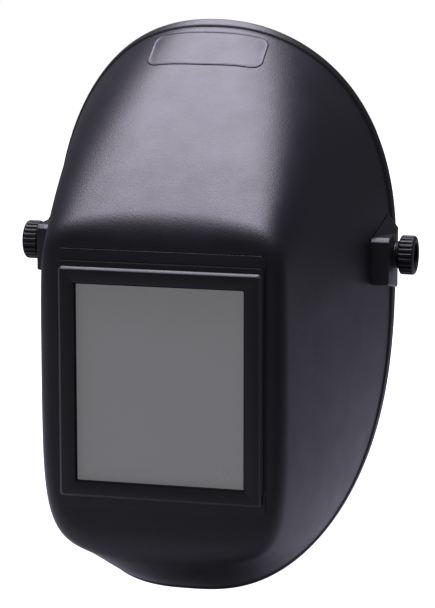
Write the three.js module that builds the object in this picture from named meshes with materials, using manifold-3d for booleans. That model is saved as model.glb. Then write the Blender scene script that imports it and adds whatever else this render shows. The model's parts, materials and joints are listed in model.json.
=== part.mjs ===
// Welding helmet with a fixed front window, side tension knobs and ratchet headgear.
// Millimetres, +Z up, face towards -Y. The origin is the middle of the line through both side pivots.
import * as THREE from 'three';
import { mergeVertices } from 'three/addons/utils/BufferGeometryUtils.js';
import { ConvexGeometry } from 'three/addons/geometries/ConvexGeometry.js';
import Module from 'manifold-3d';

const wasm = await Module();
wasm.setup();

// ---- Driving dimensions -------------------------------------------------------------------
const GAP = 0.3;                 // free space between pieces that touch
const SHELL_WALL = 2.8;          // moulded shell thickness

// Rear rim: a superellipse seen from behind, bent forward at the top and at the chin.
const RIM = { halfWidth: 111.4, centreZ: 2.5, up: 142.8, down: 206, powerUp: 2.14, powerDown: 2.8 };
const RIM_Y = { pivot: 16.4, temple: 5.6, crown: -30.5, chin: -75, chinPower: 3.36 };
const RIM_BEAD = { proud: 1.1, width: 3.6, fade: 1.2 };

// Flat face panel: a superellipse in the plane y = -FACE_Y.
const FACE_Y = 137.7;
const FACE = { halfWidth: 74.6, centreZ: -35, up: 67, down: 132, powerUp: 6.5, powerDown: 6.2 };
const FACE_EDGE = { side: 8, top: 15, chin: 14 };   // how far the rounded edge reaches
const SHOULDER_SHIFT = 0.35;     // radians by which the upper shoulder leans towards the crown
const BULGE = { side: 2.5, crown: 5, chin: 5, shoulder: 7 };

// Window, centred on the face panel; the plates are the standard 4.5 x 5.25 inch size.
const WINDOW_Z = -61.7;
const PLATE = { width: 114.3, height: 133.4 };
const PLATE_CORNER = 0.8;
const APERTURE = { width: 103.6, height: 120.4 };
const FRAME = { width: 125.2, height: 140.8, corner: 3.5, proud: 3.8, bevel: 1.5 };
const FLANGE = { width: 132.8, height: 139.7, lift: 4.9, corner: 4, proud: 1.4 };
const PLINTH = { width: 129, height: 158, lift: 1.8, corner: 4, proud: 0.6, embed: 1 };
const SKIRT = { width: 118.4, height: 137.5, wall: 1.8, corner: 1.4, backY: -126.9 };
const FRAME_LIP = 3.2;           // thickness of the frame in front of the plates
const COVER_PLATE_THICKNESS = 1.5;
const FILTER_PLATE_THICKNESS = 3;
const GASKET_THICKNESS = 1;
const CLAMP_RING = { width: 124.6, height: 143.4, thickness: 2.5, corner: 5.5 };
const CLAMP_SEAT_BACK_Y = -125.7; // rear end of the cut that seats the clamp ring
const RETAINER = { lid: 2.5, lip: 3.3 };
const BAIL = { radius: 1.25, legX: 28.2, pinX: 35.5, y: -122.55, fromCentre: 71.5, reach: 26, play: 0.2 };
const EAR = { inner: 30, outer: 34, back: 2.5, outside: 2.7, inside: 2.2 };
const FINGER_TAB = { halfWidth: 9, thickness: 2, inset: 2.5, back: 4 };

// Side bosses and pivots.
const BOSS = { rootX: 96, outerX: 114.8, frontY: -21, backY: 9.5, topZ: 13.2, bottomZ: -16.3, rounding: 0.8 };
const BOSS_CHAMFER = 2.7;        // along the upper front edge
const BOSS_REAR_BOTTOM_Z = -22.5; // its underside slopes down towards the rim
const GUSSET = { peakZ: 28, peakY: 3, frontX: 106.5, backX: 108.4, footX: 103 };
const GUSSET_OUTSIDE = { frontY: 2.9, topZ: 18.6 };
const POCKET = { openX: 90, floorX: 112, frontY: -18, backY: 7.3, halfHeight: 10.4 };
const BOLT = { radius: 3.1, headRadius: 7.5, headX: 81, headThickness: 3, endX: 122.3 };
const KNOB = { radius: 12.4, neckRadius: 8.5, neckX: 116.2, barrelX: 118, endX: 128.1 };
const KNOB_RIBS = { count: 24, depth: 0.9, width: 0.5 };
const KNOB_RECESS = { radius: 8.2, depth: 4.6 };
const INSERT = { radius: 5, startX: 116.5, endX: 122.2 };
const TENSION_WASHER = { radius: 8.4, x: 115.1, thickness: 0.8 };
const FRICTION_WASHER = { radius: 6.8, x: 110.7, thickness: 1 };
const ARM = { postRadius: 6.9, endX: 110.4, frontY: -27, backY: 20.5, height: 19 };
const ARM_PLATE = { x: 80.1, thickness: 2.6 };
const ARM_RIVET_Y = [-21, 16];
const ARM_BLOCK = { endX: 94, length: 22, height: 16 };

// Headgear bands.
const BAND_THICKNESS = 1.8;
const HEADBAND = { halfWidth: 79.6, front: 62, arcY: -30, legY: 60, height: 24 };
const NAPE = { halfWidth: 82.4, backY: 104, legY: 37, corner: 36, height: 18 };
const CROWN = { halfWidth: 77.3, top: 80, width: 20, overlap: 24, thickness: 1.6, spacing: 0.5 };
const CROWN_LEG = { startZ: -4, endZ: 12, rivetZ: -1 };
const PAD = { thickness: 5, forehead: 4, nape: 8, corner: 8, clearance: 1 };
const RIVET = { radius: 3.6, head: 1.2, shank: 1.6, root: 0.5 };
const CROWN_PIN = { headRadius: 4.6, head: 1.6, footRadius: 3, foot: 1.4 };

// Ratchet at the nape.
const PINION = { teeth: 10, pitchRadius: 6.25, addendum: 1, dedendum: 1.35 };
const RACK = { length: 41, back: 3, thickness: 4.2 };
const HOUSING = { halfWidth: 42, halfHeight: 15, depth: 9, wall: 2, corner: 6, startY: 104.3 };
const RATCHET_COVER_THICKNESS = 2;
const RATCHET_KNOB = { radius: 18, depth: 10.5, lobes: 12, lobeDepth: 0.8, hub: 4.1, well: 6, wellDepth: 3 };
const AXLE = { radius: 2.2, headRadius: 4.5, head: 1.8 };
const SCREW = { radius: 1, headRadius: 2.6, head: 1.3, post: 3, inset: 4.4 };

// ---- Solid helpers ------------------------------------------------------------------------
function toSolid(geometry) {
  const bare = geometry.clone();
  bare.deleteAttribute('normal');
  bare.deleteAttribute('uv');
  const merged = mergeVertices(bare, 1e-4);
  return new wasm.Manifold(new wasm.Mesh({
    numProp: 3,
    vertProperties: Float32Array.from(merged.attributes.position.array),
    triVerts: Uint32Array.from(merged.index.array),
  }));
}

function fromSolid(solid) {
  const mesh = solid.getMesh();
  const geometry = new THREE.BufferGeometry();
  geometry.setAttribute('position', new THREE.BufferAttribute(mesh.vertProperties, 3));
  geometry.setIndex(new THREE.BufferAttribute(mesh.triVerts, 1));
  return geometry;
}

function join(...geometries) {
  return fromSolid(geometries.map(toSolid).reduce((a, b) => a.add(b)));
}

function cut(geometry, ...tools) {
  return fromSolid(tools.map(toSolid).reduce((a, b) => a.subtract(b), toSolid(geometry)));
}

function box(x0, x1, y0, y1, z0, z1) {
  const geometry = new THREE.BoxGeometry(x1 - x0, y1 - y0, z1 - z0);
  return geometry.translate((x0 + x1) / 2, (y0 + y1) / 2, (z0 + z1) / 2);
}

// A round bar along X, along Y or along Z between two positions.
function barX(radius, x0, x1, y = 0, z = 0, sides = 24) {
  const geometry = new THREE.CylinderGeometry(radius, radius, x1 - x0, sides);
  return geometry.rotateZ(Math.PI / 2).translate((x0 + x1) / 2, y, z);
}

function barY(radius, y0, y1, x = 0, z = 0, sides = 24) {
  return new THREE.CylinderGeometry(radius, radius, y1 - y0, sides).translate(x, (y0 + y1) / 2, z);
}

function barZ(radius, z0, z1, x = 0, y = 0, sides = 24) {
  const geometry = new THREE.CylinderGeometry(radius, radius, z1 - z0, sides);
  return geometry.rotateX(Math.PI / 2).translate(x, y, (z0 + z1) / 2);
}

function mirrored(geometry, side) {
  if (side > 0) {
    return geometry;
  }
  const copy = geometry.index ? geometry.toNonIndexed() : geometry.clone();
  const position = copy.attributes.position;
  for (let i = 0; i < position.count; i += 3) {
    const corners = [0, 2, 1].map((k) => new THREE.Vector3().fromBufferAttribute(position, i + k));
    corners.forEach((corner, k) => position.setXYZ(i + k, -corner.x, corner.y, corner.z));
  }
  copy.deleteAttribute('normal');
  copy.deleteAttribute('uv');
  return mergeVertices(copy, 1e-4);
}

// Rounded rectangle outline centred on the origin of its plane.
function roundedRectangle(width, height, corner, path = new THREE.Shape()) {
  const x = width / 2;
  const y = height / 2;
  path.moveTo(x, -y + corner);
  path.lineTo(x, y - corner);
  path.absarc(x - corner, y - corner, corner, 0, Math.PI / 2);
  path.lineTo(-x + corner, y);
  path.absarc(-x + corner, y - corner, corner, Math.PI / 2, Math.PI);
  path.lineTo(-x, -y + corner);
  path.absarc(-x + corner, -y + corner, corner, Math.PI, 1.5 * Math.PI);
  path.lineTo(x - corner, -y);
  path.absarc(x - corner, -y + corner, corner, 1.5 * Math.PI, 2 * Math.PI);
  return path;
}

// A flat shape drawn in X and Z, made solid from frontY back to backY.
function slabY(shape, frontY, backY, centreZ = 0, curveSegments = 4) {
  const options = { depth: backY - frontY, bevelEnabled: false, curveSegments };
  return new THREE.ExtrudeGeometry(shape, options).rotateX(Math.PI / 2).translate(0, backY, centreZ);
}

// A flat shape drawn in X and Y, made solid from z0 up to z1.
function slabZ(shape, z0, z1, curveSegments = 12) {
  const options = { depth: z1 - z0, bevelEnabled: false, curveSegments };
  return new THREE.ExtrudeGeometry(shape, options).translate(0, 0, z0);
}

function ringSlabY(outer, inner, frontY, backY, corner, innerCorner) {
  const shape = roundedRectangle(outer.width, outer.height, corner);
  shape.holes.push(roundedRectangle(inner.width, inner.height, innerCorner, new THREE.Path()));
  return slabY(shape, frontY, backY, WINDOW_Z);
}

// ---- Shell surface ------------------------------------------------------------------------
function superellipse(angle, outline, inset) {
  const upper = Math.sin(angle) >= 0;
  const power = upper ? outline.powerUp : outline.powerDown;
  const reach = (upper ? outline.up : outline.down) - inset;
  const across = Math.abs(Math.cos(angle)) / (outline.halfWidth - inset);
  const along = Math.abs(Math.sin(angle)) / reach;
  const radius = (across ** power + along ** power) ** (-1 / power);
  return [radius * Math.cos(angle), outline.centreZ + radius * Math.sin(angle)];
}

function rimDepth(z) {
  if (z > 0) {
    const rise = z / (RIM.centreZ + RIM.up);
    return RIM_Y.pivot + RIM_Y.temple * rise ** 2 + RIM_Y.crown * rise ** 4;
  }
  const share = z / (RIM.centreZ - RIM.down);
  return RIM_Y.pivot + (RIM_Y.chin - RIM_Y.pivot) * share ** RIM_Y.chinPower;
}

function rimPoint(angle, inset) {
  const shifted = angle + SHOULDER_SHIFT * Math.sin(2 * angle) * (Math.sin(angle) > 0 ? 1 : 0);
  const [x, z] = superellipse(shifted, RIM, inset);
  return new THREE.Vector3(x, rimDepth(z), z);
}

function facePoint(angle, inset) {
  const [x, z] = superellipse(angle, FACE, inset);
  return new THREE.Vector3(x, -FACE_Y + inset, z);
}

// How far the shell swells between rim and face, and how far its rounded edge reaches.
function swell(angle) {
  const up = Math.max(0, Math.sin(angle));
  const down = Math.max(0, -Math.sin(angle));
  const shoulder = Math.sin(2 * angle) ** 2 * up * BULGE.shoulder;
  return BULGE.side * Math.cos(angle) ** 2 + BULGE.crown * up ** 2 + BULGE.chin * down ** 2 + shoulder;
}

function edgeReach(angle) {
  const up = Math.max(0, Math.sin(angle)) ** 4;
  const down = Math.max(0, -Math.sin(angle)) ** 4;
  return FACE_EDGE.side + (FACE_EDGE.top - FACE_EDGE.side) * up + (FACE_EDGE.chin - FACE_EDGE.side) * down;
}

// Points from the rim forward to the flat of the face, at one angle around the shell.
function wallProfile(angle, inset, steps, edgeSteps, bead) {
  const rim = rimPoint(angle, inset);
  const corner = facePoint(angle, inset);
  const outward = new THREE.Vector3(Math.cos(angle), 0, Math.sin(angle));
  const bulge = outward.clone().multiplyScalar(swell(angle));
  const third = rim.clone().lerp(corner, 1 / 3).add(bulge);
  const twoThirds = rim.clone().lerp(corner, 2 / 3).add(bulge);
  const wall = new THREE.CubicBezierCurve3(rim, third, twoThirds, corner);
  const length = wall.getLength();
  const reach = edgeReach(angle);
  const wallEnd = wall.getPointAt(1 - reach / length);
  const centre = new THREE.Vector3(0, corner.y, FACE.centreZ);
  const faceStart = corner.clone().lerp(centre, reach / corner.distanceTo(centre));
  const edge = new THREE.QuadraticBezierCurve3(wallEnd, corner, faceStart);
  const points = [];
  if (bead) {
    const lift = outward.clone().multiplyScalar(RIM_BEAD.proud);
    points.push(rim.clone().add(lift));
    points.push(wall.getPointAt(RIM_BEAD.width / length).add(lift));
    points.push(wall.getPointAt((RIM_BEAD.width + RIM_BEAD.fade) / length));
  } else {
    points.push(rim.clone());
  }
  const start = bead ? (RIM_BEAD.width + RIM_BEAD.fade) / length : 0;
  for (let i = 1; i < steps; i += 1) {
    points.push(wall.getPointAt(start + (1 - reach / length - start) * (i / steps)));
  }
  for (let i = 0; i <= edgeSteps; i += 1) {
    points.push(edge.getPoint(i / edgeSteps));
  }
  return points;
}

// The space inside a wall surface, closed by the face in front and by a cap behind.
function loftSolid(inset, around, steps, edgeSteps, bead, behind) {
  const rings = [];
  for (let i = 0; i < around; i += 1) {
    const profile = wallProfile((i / around) * 2 * Math.PI, inset, steps, edgeSteps, bead);
    const back = profile[0].clone();
    back.y += behind;
    rings.push(behind > 0 ? [back, ...profile] : profile);
  }
  const depth = rings[0].length;
  const vertices = rings.flat().flatMap((point) => [point.x, point.y, point.z]);
  const backPole = around * depth;
  const frontPole = backPole + 1;
  vertices.push(0, RIM_Y.pivot + behind, 0);
  vertices.push(0, -FACE_Y + inset, FACE.centreZ);
  const faces = [];
  for (let i = 0; i < around; i += 1) {
    const here = i * depth;
    const next = ((i + 1) % around) * depth;
    faces.push(backPole, next, here);
    for (let k = 0; k + 1 < depth; k += 1) {
      faces.push(here + k, next + k, here + k + 1);
      faces.push(next + k, next + k + 1, here + k + 1);
    }
    faces.push(here + depth - 1, next + depth - 1, frontPole);
  }
  const geometry = new THREE.BufferGeometry();
  geometry.setAttribute('position', new THREE.BufferAttribute(new Float32Array(vertices), 3));
  geometry.setIndex(faces);
  return geometry;
}

// ---- Shell and window ---------------------------------------------------------------------
function sideBoss(side) {
  const { rootX, outerX, frontY, backY, topZ, bottomZ, rounding } = BOSS;
  const at = ([x, y, z]) => new THREE.Vector3(x, y, z);
  const section = (y, top, bottom = bottomZ) => {
    const outline = [[rootX, top], [outerX, top], [outerX, bottom + rounding]];
    outline.push([outerX - rounding, bottom], [rootX, bottom]);
    return outline.map(([x, z]) => [x, y, z]);
  };
  const chamferY = frontY + BOSS_CHAMFER;
  const front = [...section(frontY, topZ - BOSS_CHAMFER), ...section(chamferY, topZ)];
  const back = section(backY, topZ, BOSS_REAR_BOTTOM_Z);
  const block = new ConvexGeometry([...front, ...back].map(at));
  const { peakZ, peakY, frontX, backX, footX } = GUSSET;
  const { frontY: outerY, topZ: outerZ } = GUSSET_OUTSIDE;
  const foot = [[rootX, chamferY, 0], [rootX, chamferY, topZ], [footX, chamferY, topZ], [footX, chamferY, 0]];
  const outerFront = [[outerX, outerY, 0], [outerX, outerY, topZ]];
  const outerBack = [[outerX, backY, outerZ], [outerX, backY, 0]];
  const top = [[rootX, peakY, peakZ], [frontX, peakY, peakZ], [backX, backY, peakZ]];
  const rear = [[rootX, backY, peakZ], [rootX, backY, 0]];
  const gusset = new ConvexGeometry([...foot, ...outerFront, ...outerBack, ...top, ...rear].map(at));
  return mirrored(join(block, gusset), side);
}

function shell() {
  const outside = loftSolid(0, 80, 7, 4, true, 0);
  const inside = loftSolid(SHELL_WALL, 64, 6, 3, false, 30);
  const plinthShape = roundedRectangle(PLINTH.width, PLINTH.height, PLINTH.corner);
  const plinthFront = -FACE_Y - PLINTH.proud;
  const plinth = slabY(plinthShape, plinthFront, -FACE_Y + PLINTH.embed, WINDOW_Z + PLINTH.lift);
  const body = join(outside, plinth, sideBoss(-1), sideBoss(1));
  const tools = [inside];
  for (const side of [-1, 1]) {
    const { openX, floorX, frontY, backY, halfHeight } = POCKET;
    tools.push(mirrored(box(openX, floorX, frontY, backY, -halfHeight, halfHeight), side));
    tools.push(mirrored(barX(BOLT.radius + GAP, floorX - 1, BOSS.outerX + 1), side));
  }
  const opening = roundedRectangle(SKIRT.width + 2 * GAP, SKIRT.height + 2 * GAP, SKIRT.corner);
  tools.push(slabY(opening, plinthFront - 1, CLAMP_SEAT_BACK_Y, WINDOW_Z));
  const seat = roundedRectangle(CLAMP_RING.width + 2 * GAP, CLAMP_RING.height + 2 * GAP, CLAMP_RING.corner);
  tools.push(slabY(seat, -FACE_Y + SHELL_WALL, CLAMP_SEAT_BACK_Y, WINDOW_Z));
  return cut(body, ...tools);
}

const FRAME_BACK_Y = -FACE_Y - PLINTH.proud - GAP;
const FRAME_FRONT_Y = FRAME_BACK_Y - FRAME.proud + PLINTH.proud;
const COVER_FRONT_Y = FRAME_FRONT_Y + FRAME_LIP + GAP;
const GASKET_FRONT_Y = COVER_FRONT_Y + COVER_PLATE_THICKNESS + GAP;
const FILTER_FRONT_Y = GASKET_FRONT_Y + GASKET_THICKNESS + GAP;
const INNER_FRONT_Y = FILTER_FRONT_Y + FILTER_PLATE_THICKNESS + GAP;

// Bezel with a bevelled outer edge on a thin flange, and the skirt behind it that holds the plates.
function windowFrame() {
  const { width, height, corner, bevel } = FRAME;
  const bezelShape = roundedRectangle(width - 2 * bevel, height - 2 * bevel, corner - bevel);
  const bezel = new THREE.ExtrudeGeometry(bezelShape, {
    depth: FRAME_BACK_Y - FRAME_FRONT_Y - bevel,
    bevelThickness: bevel,
    bevelSize: bevel,
    bevelSegments: 1,
    curveSegments: 4,
  });
  bezel.rotateX(Math.PI / 2).translate(0, FRAME_BACK_Y, WINDOW_Z);
  const trimShape = roundedRectangle(width + 1, height + 1, corner);
  const trim = slabY(trimShape, FRAME_BACK_Y, FRAME_BACK_Y + 2 * bevel, WINDOW_Z);
  const flangeShape = roundedRectangle(FLANGE.width, FLANGE.height, FLANGE.corner);
  const flange = slabY(flangeShape, FRAME_BACK_Y - FLANGE.proud, FRAME_BACK_Y, WINDOW_Z + FLANGE.lift);
  const skirtShape = roundedRectangle(SKIRT.width, SKIRT.height, SKIRT.corner);
  const skirt = slabY(skirtShape, FRAME_BACK_Y - 1, SKIRT.backY, WINDOW_Z);
  const wellSize = [SKIRT.width - 2 * SKIRT.wall, SKIRT.height - 2 * SKIRT.wall];
  const wellShape = roundedRectangle(...wellSize, PLATE_CORNER);
  const well = slabY(wellShape, COVER_FRONT_Y - GAP, SKIRT.backY + 1, WINDOW_Z);
  const sight = roundedRectangle(APERTURE.width, APERTURE.height, PLATE_CORNER);
  const hole = slabY(sight, FRAME_FRONT_Y - 1, SKIRT.backY, WINDOW_Z);
  return cut(join(cut(bezel, trim), flange, skirt), well, hole);
}

function plate(frontY, thickness) {
  const shape = roundedRectangle(PLATE.width, PLATE.height, PLATE_CORNER);
  return slabY(shape, frontY, frontY + thickness, WINDOW_Z, 1);
}

function lensGasket() {
  const opening = { width: APERTURE.width + 2, height: APERTURE.height + 2 };
  return ringSlabY(PLATE, opening, GASKET_FRONT_Y, GASKET_FRONT_Y + GASKET_THICKNESS, PLATE_CORNER, 1);
}

// Ring that clamps the window frame from inside the shell, with ears for the two wire bails.
function clampRing() {
  const front = -FACE_Y + SHELL_WALL + GAP;
  const opening = { width: SKIRT.width + 2 * GAP, height: SKIRT.height + 2 * GAP };
  const { thickness, corner } = CLAMP_RING;
  const ring = ringSlabY(CLAMP_RING, opening, front, front + thickness, corner, SKIRT.corner);
  const ears = [];
  const bores = [];
  for (const end of [-1, 1]) {
    const edges = [bailZ(end) - end * EAR.inside, bailZ(end) + end * EAR.outside];
    const ear = box(EAR.inner, EAR.outer, front, BAIL.y + EAR.back, Math.min(...edges), Math.max(...edges));
    ears.push(ear, mirrored(ear, -1));
    bores.push(barX(BAIL.radius + BAIL.play, -BAIL.pinX, BAIL.pinX, BAIL.y, bailZ(end), 16));
  }
  return cut(join(ring, ...ears), ...bores);
}

// Height of the hinge line of the upper bail (end 1) or of the lower one (end -1).
function bailZ(end) {
  return WINDOW_Z + end * BAIL.fromCentre;
}

// Springy wire bail that presses on the retainer; it swings back to free the plates.
function lensBail(end) {
  const { radius, legX, pinX, y, reach } = BAIL;
  const hinge = bailZ(end);
  const crossbar = hinge - end * reach;
  const overlap = radius + 0.15;
  const bottom = Math.min(hinge, crossbar) - overlap;
  const top = Math.max(hinge, crossbar) + overlap;
  const leg = barZ(radius, bottom, top, legX, y, 12);
  const pin = barX(radius, legX - overlap, pinX, y, hinge, 12);
  const bar = barX(radius, -legX - overlap, legX + overlap, y, crossbar, 12);
  return join(leg, mirrored(leg, -1), pin, mirrored(pin, -1), bar);
}

// Lid behind the plates, with a lip around them and a finger tab.
function lensRetainer() {
  const lidFront = SKIRT.backY + GAP;
  const lidBack = lidFront + RETAINER.lid;
  const opening = { width: APERTURE.width - 2, height: APERTURE.height - 2 };
  const lid = ringSlabY(SKIRT, opening, lidFront, lidBack, SKIRT.corner, 3);
  const lipOutside = { width: PLATE.width - 1.2, height: PLATE.height - 1.4 };
  const lip = ringSlabY(lipOutside, opening, lidFront - RETAINER.lip + GAP, lidFront + 1, 1, 3);
  const tabTop = WINDOW_Z + SKIRT.height / 2 - FINGER_TAB.inset;
  const { halfWidth, thickness, back } = FINGER_TAB;
  const tab = box(-halfWidth, halfWidth, lidFront + 0.5, lidBack + back, tabTop - thickness, tabTop);
  return join(lid, lip, tab);
}

// ---- Side pivots --------------------------------------------------------------------------
// Ribbed barrel on a narrower neck, with a recess in its outer end.
function knob(side) {
  const outline = [];
  const step = (2 * Math.PI) / KNOB_RIBS.count;
  const { depth, width } = KNOB_RIBS;
  const rib = [[0, depth], [(1 - width) / 2, 0], [(1 + width) / 2, 0]];
  for (let i = 0; i < KNOB_RIBS.count; i += 1) {
    for (const [share, inset] of rib) {
      const angle = (i + share) * step;
      const radius = KNOB.radius - inset;
      outline.push(new THREE.Vector2(radius * Math.cos(angle), radius * Math.sin(angle)));
    }
  }
  const options = { depth: KNOB.endX - KNOB.barrelX, bevelEnabled: false };
  const barrel = new THREE.ExtrudeGeometry(new THREE.Shape(outline), options);
  barrel.rotateY(Math.PI / 2).translate(KNOB.barrelX, 0, 0);
  const neck = barX(KNOB.neckRadius, KNOB.neckX, KNOB.barrelX + 1);
  const recess = barX(KNOB_RECESS.radius, KNOB.endX - KNOB_RECESS.depth, KNOB.endX + 1);
  const bore = barX(INSERT.radius + GAP, KNOB.neckX - 1, KNOB.endX);
  return mirrored(cut(join(barrel, neck), recess, bore), side);
}

function tube(radius, bore, x0, x1, side) {
  return mirrored(cut(barX(radius, x0, x1), barX(bore, x0 - 1, x1 + 1)), side);
}

function pivotBolt(side) {
  const head = barX(BOLT.headRadius, BOLT.headX, BOLT.headX + BOLT.headThickness);
  const shank = barX(BOLT.radius, BOLT.headX + 1, BOLT.endX);
  return mirrored(join(head, shank), side);
}

// Arm that carries the helmet on the headband: plate, block and round post around the bolt.
function pivotArm(side) {
  const { frontY, backY, height, postRadius, endX } = ARM;
  const { x, thickness } = ARM_PLATE;
  const plateSolid = box(x, x + thickness, frontY, backY, -height / 2, height / 2);
  const half = ARM_BLOCK.length / 2;
  const block = box(x, ARM_BLOCK.endX, -half, half, -ARM_BLOCK.height / 2, ARM_BLOCK.height / 2);
  const post = barX(postRadius, x, endX);
  const headWell = barX(BOLT.headRadius + GAP, x - 1, BOLT.headX + BOLT.headThickness + GAP);
  const bore = barX(BOLT.radius + GAP, x, endX + 1);
  const rivetHoles = ARM_RIVET_Y.map((y) => barX(RIVET.shank + GAP, x - 1, x + 4, y, 0, 12));
  return mirrored(cut(join(plateSolid, block, post), headWell, bore, ...rivetHoles), side);
}

// Rivet through the arm's plate and the headband.
function armRivet(side, y) {
  const outer = ARM_PLATE.x + ARM_PLATE.thickness + GAP;
  const inner = HEADBAND.halfWidth - BAND_THICKNESS - GAP;
  const shank = barX(RIVET.shank, inner - RIVET.root, outer + RIVET.root, y, 0, 12);
  const outerHead = barX(RIVET.radius, outer, outer + RIVET.head, y, 0, 16);
  const innerHead = barX(RIVET.radius, inner - RIVET.head, inner, y, 0, 16);
  return mirrored(join(shank, outerHead, innerHead), side);
}

// ---- Headgear -----------------------------------------------------------------------------
// Band outline seen from above: half an ellipse over the forehead and two straight legs.
function foreheadOutline(outer, thickness) {
  const { arcY, legY } = outer;
  const inner = { halfWidth: outer.halfWidth - thickness, front: outer.front - thickness };
  const shape = new THREE.Shape();
  shape.moveTo(outer.halfWidth, legY);
  shape.lineTo(inner.halfWidth, legY);
  shape.lineTo(inner.halfWidth, arcY);
  shape.absellipse(0, arcY, inner.halfWidth, inner.front, 0, Math.PI, true);
  shape.lineTo(-inner.halfWidth, legY);
  shape.lineTo(-outer.halfWidth, legY);
  shape.lineTo(-outer.halfWidth, arcY);
  shape.absellipse(0, arcY, outer.halfWidth, outer.front, Math.PI, 2 * Math.PI, false);
  return shape;
}

function headband() {
  const half = HEADBAND.height / 2;
  const places = [...ARM_RIVET_Y.map((y) => [y, 0]), [0, CROWN_LEG.rivetZ]];
  const hole = RIVET.shank + GAP;
  const { halfWidth } = HEADBAND;
  const holes = places.map(([y, z]) => barX(hole, halfWidth - 5, halfWidth + 5, y, z, 12));
  const band = slabZ(foreheadOutline(HEADBAND, BAND_THICKNESS), -half, half, 20);
  return cut(band, ...holes, ...holes.map((tool) => mirrored(tool, -1)));
}

function sweatband() {
  const outline = {
    halfWidth: HEADBAND.halfWidth - BAND_THICKNESS - PAD.clearance - 0.7,
    front: HEADBAND.front - BAND_THICKNESS - PAD.clearance - 0.2,
    arcY: HEADBAND.arcY,
    legY: HEADBAND.arcY + 5,
  };
  const half = (HEADBAND.height + PAD.forehead) / 2;
  return slabZ(foreheadOutline(outline, PAD.thickness), -half, half, 12);
}

// Nape band outline: two legs and a straight back joined by round corners.
function napeOutline() {
  const shape = new THREE.Shape();
  const { halfWidth, backY, legY, corner } = NAPE;
  const inner = { halfWidth: halfWidth - BAND_THICKNESS, backY: backY - BAND_THICKNESS };
  const innerCorner = corner - BAND_THICKNESS;
  shape.moveTo(halfWidth, legY);
  shape.lineTo(halfWidth, backY - corner);
  shape.absarc(halfWidth - corner, backY - corner, corner, 0, Math.PI / 2, false);
  shape.lineTo(-halfWidth + corner, backY);
  shape.absarc(-halfWidth + corner, backY - corner, corner, Math.PI / 2, Math.PI, false);
  shape.lineTo(-halfWidth, legY);
  shape.lineTo(-inner.halfWidth, legY);
  shape.lineTo(-inner.halfWidth, backY - corner);
  shape.absarc(-halfWidth + corner, backY - corner, innerCorner, Math.PI, Math.PI / 2, true);
  shape.lineTo(inner.halfWidth - innerCorner, inner.backY);
  shape.absarc(halfWidth - corner, backY - corner, innerCorner, Math.PI / 2, 0, true);
  return shape;
}

function napeBand() {
  return slabZ(napeOutline(), -NAPE.height / 2, NAPE.height / 2, 10);
}

// Half of the strap over the crown; the right half lies above the left one at the top.
function crownStrap(side) {
  const { halfWidth, top, thickness, spacing, overlap, width } = CROWN;
  const { startZ, endZ, rivetZ } = CROWN_LEG;
  const lift = side > 0 ? thickness + spacing : 0;
  const sweep = Math.PI / 2 + Math.asin(overlap / 2 / halfWidth);
  const steps = 16;
  const arc = (inset) => Array.from({ length: steps }, (_, i) => {
    const angle = ((i + 1) / steps) * sweep;
    const rise = (top - endZ + lift - inset) * Math.sin(angle);
    return new THREE.Vector2((halfWidth - inset) * Math.cos(angle), endZ + rise);
  });
  const outside = [new THREE.Vector2(halfWidth, startZ), new THREE.Vector2(halfWidth, endZ), ...arc(0)];
  const inner = halfWidth - thickness;
  const inside = [new THREE.Vector2(inner, startZ), new THREE.Vector2(inner, endZ), ...arc(thickness)];
  const strap = slabY(new THREE.Shape([...outside, ...inside.reverse()]), -width / 2, width / 2);
  const hole = RIVET.shank + GAP;
  const rivetHole = barX(hole, inner - 5, halfWidth + 5, 0, rivetZ, 12);
  return mirrored(cut(strap, rivetHole, barZ(hole, top - 10, top + 10, 0, 0, 12)), side);
}

// Push-in pin that holds the two halves of the crown strap together.
function crownPin() {
  const under = CROWN.top - CROWN.thickness - GAP;
  const over = CROWN.top + CROWN.thickness + CROWN.spacing + GAP;
  const head = barZ(CROWN_PIN.headRadius, over, over + CROWN_PIN.head, 0, 0, 20);
  const foot = barZ(CROWN_PIN.footRadius, under - CROWN_PIN.foot, under, 0, 0, 16);
  return join(head, barZ(RIVET.shank, under - 1, over + 1, 0, 0, 12), foot);
}

function strapRivet(side) {
  const outer = HEADBAND.halfWidth + GAP / 2;
  const inner = CROWN.halfWidth - CROWN.thickness - GAP;
  const shank = barX(RIVET.shank, inner - RIVET.root, outer, 0, CROWN_LEG.rivetZ, 12);
  const innerHead = barX(RIVET.radius, inner - RIVET.head, inner, 0, CROWN_LEG.rivetZ, 16);
  return mirrored(join(shank, innerHead), side);
}

// ---- Ratchet ------------------------------------------------------------------------------
const PITCH = (2 * Math.PI * PINION.pitchRadius) / PINION.teeth;
const GEAR_FRONT_Y = HOUSING.startY + HOUSING.wall + GAP + 0.5;
const GEAR_BACK_Y = GEAR_FRONT_Y + RACK.thickness;
const COVER_START_Y = HOUSING.startY + HOUSING.depth + GAP;
const COVER_END_Y = COVER_START_Y + RATCHET_COVER_THICKNESS;
const RATCHET_KNOB_Y = COVER_END_Y + GAP;
const RATCHET_KNOB_END_Y = RATCHET_KNOB_Y + RATCHET_KNOB.depth;
const AXLE_BORE = AXLE.radius + GAP;
const SCREW_X = HOUSING.halfWidth - SCREW.inset;

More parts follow.
